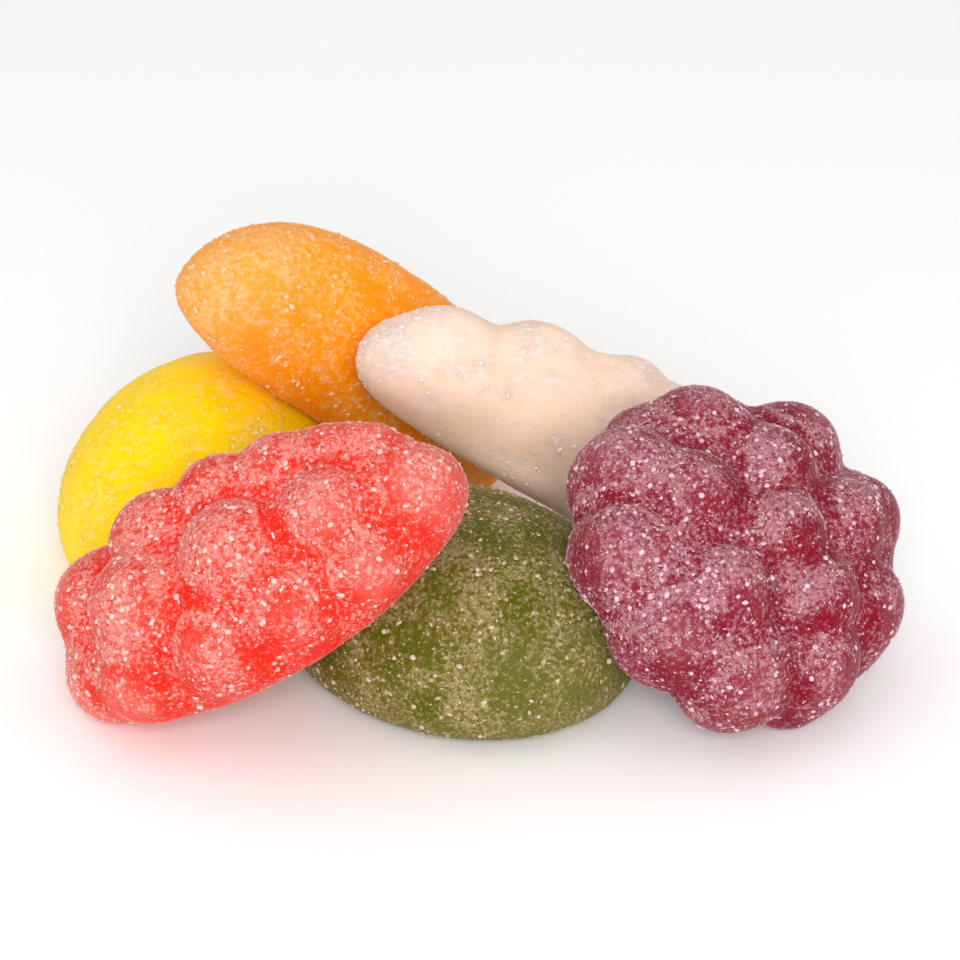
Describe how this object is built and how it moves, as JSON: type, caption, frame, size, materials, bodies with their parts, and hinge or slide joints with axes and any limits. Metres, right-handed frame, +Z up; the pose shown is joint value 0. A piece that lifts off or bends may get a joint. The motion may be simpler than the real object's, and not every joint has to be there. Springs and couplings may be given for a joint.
{
  "type": "heap of sugared jelly fruits",
  "caption": "Sugar-coated fruit jellies in a loose heap: a yellow, an orange and a white piece behind, a green one between a red and a purple berry.",
  "frame": {"origin": "middle of the heap's footprint, on the surface that it lies on", "axes": "+Z up, +X along the heap's length to the right as seen from the side with the two berries, which is -Y"},
  "size_m": [0.0738, 0.0566, 0.0299],
  "materials": {
    "jelly_green": "matte",
    "jelly_lemon": "matte",
    "jelly_red": "matte",
    "jelly_purple": "matte",
    "jelly_orange": "matte",
    "jelly_white": "matte"
  },
  "bodies": {
    "root": {"green_pear_half": "jelly_green", "lemon_segment": "jelly_lemon", "red_berry": "jelly_red", "purple_berry": "jelly_purple", "orange_segment": "jelly_orange", "white_grape_bunch": "jelly_white"}
  },
  "joints": []
}
